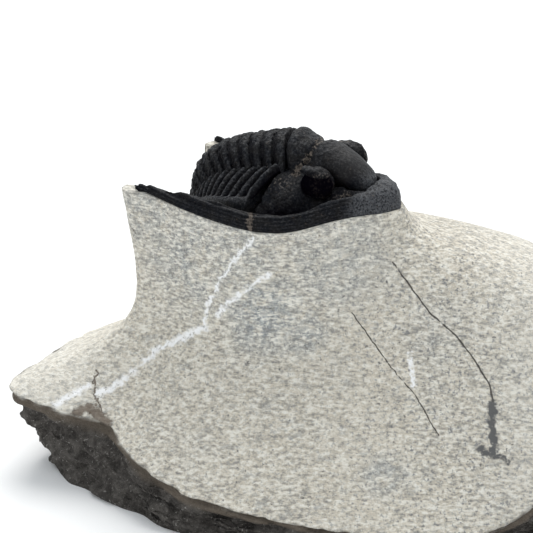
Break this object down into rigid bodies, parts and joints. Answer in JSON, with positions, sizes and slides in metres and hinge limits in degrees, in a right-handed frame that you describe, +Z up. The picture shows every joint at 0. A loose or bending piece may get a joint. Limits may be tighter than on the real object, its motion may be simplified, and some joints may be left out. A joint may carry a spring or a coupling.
{
  "type": "trilobite fossil",
  "caption": "Small black trilobite with a swollen head, long cheek spines and ribbed body, left standing on a carved pedestal of pale limestone.",
  "frame": {"origin": "middle of the underside, on the surface that the block rests on", "axes": "+Z up; +X along the block, from the low broken tip towards the high right end; -Y is the side that the picture shows; the trilobite's head points 27 degrees from +X towards -Y"},
  "size_m": [0.0799, 0.0602, 0.0437],
  "materials": {
    "limestone": "matt fine-grained limestone with fine tool marks, a blue-grey zone, white veins and a dark broken side",
    "black_calcite": "satin black fossil shell, finely granular"
  },
  "bodies": {
    "root": {"limestone_matrix": "limestone", "cephalon": "black_calcite", "thorax_segment_01": "black_calcite", "thorax_segment_02": "black_calcite", "thorax_segment_03": "black_calcite", "thorax_segment_04": "black_calcite", "thorax_segment_05": "black_calcite", "thorax_segment_06": "black_calcite", "thorax_segment_07": "black_calcite", "thorax_segment_08": "black_calcite", "thorax_segment_09": "black_calcite", "thorax_segment_10": "black_calcite", "pygidium": "black_calcite"}
  },
  "joints": []
}
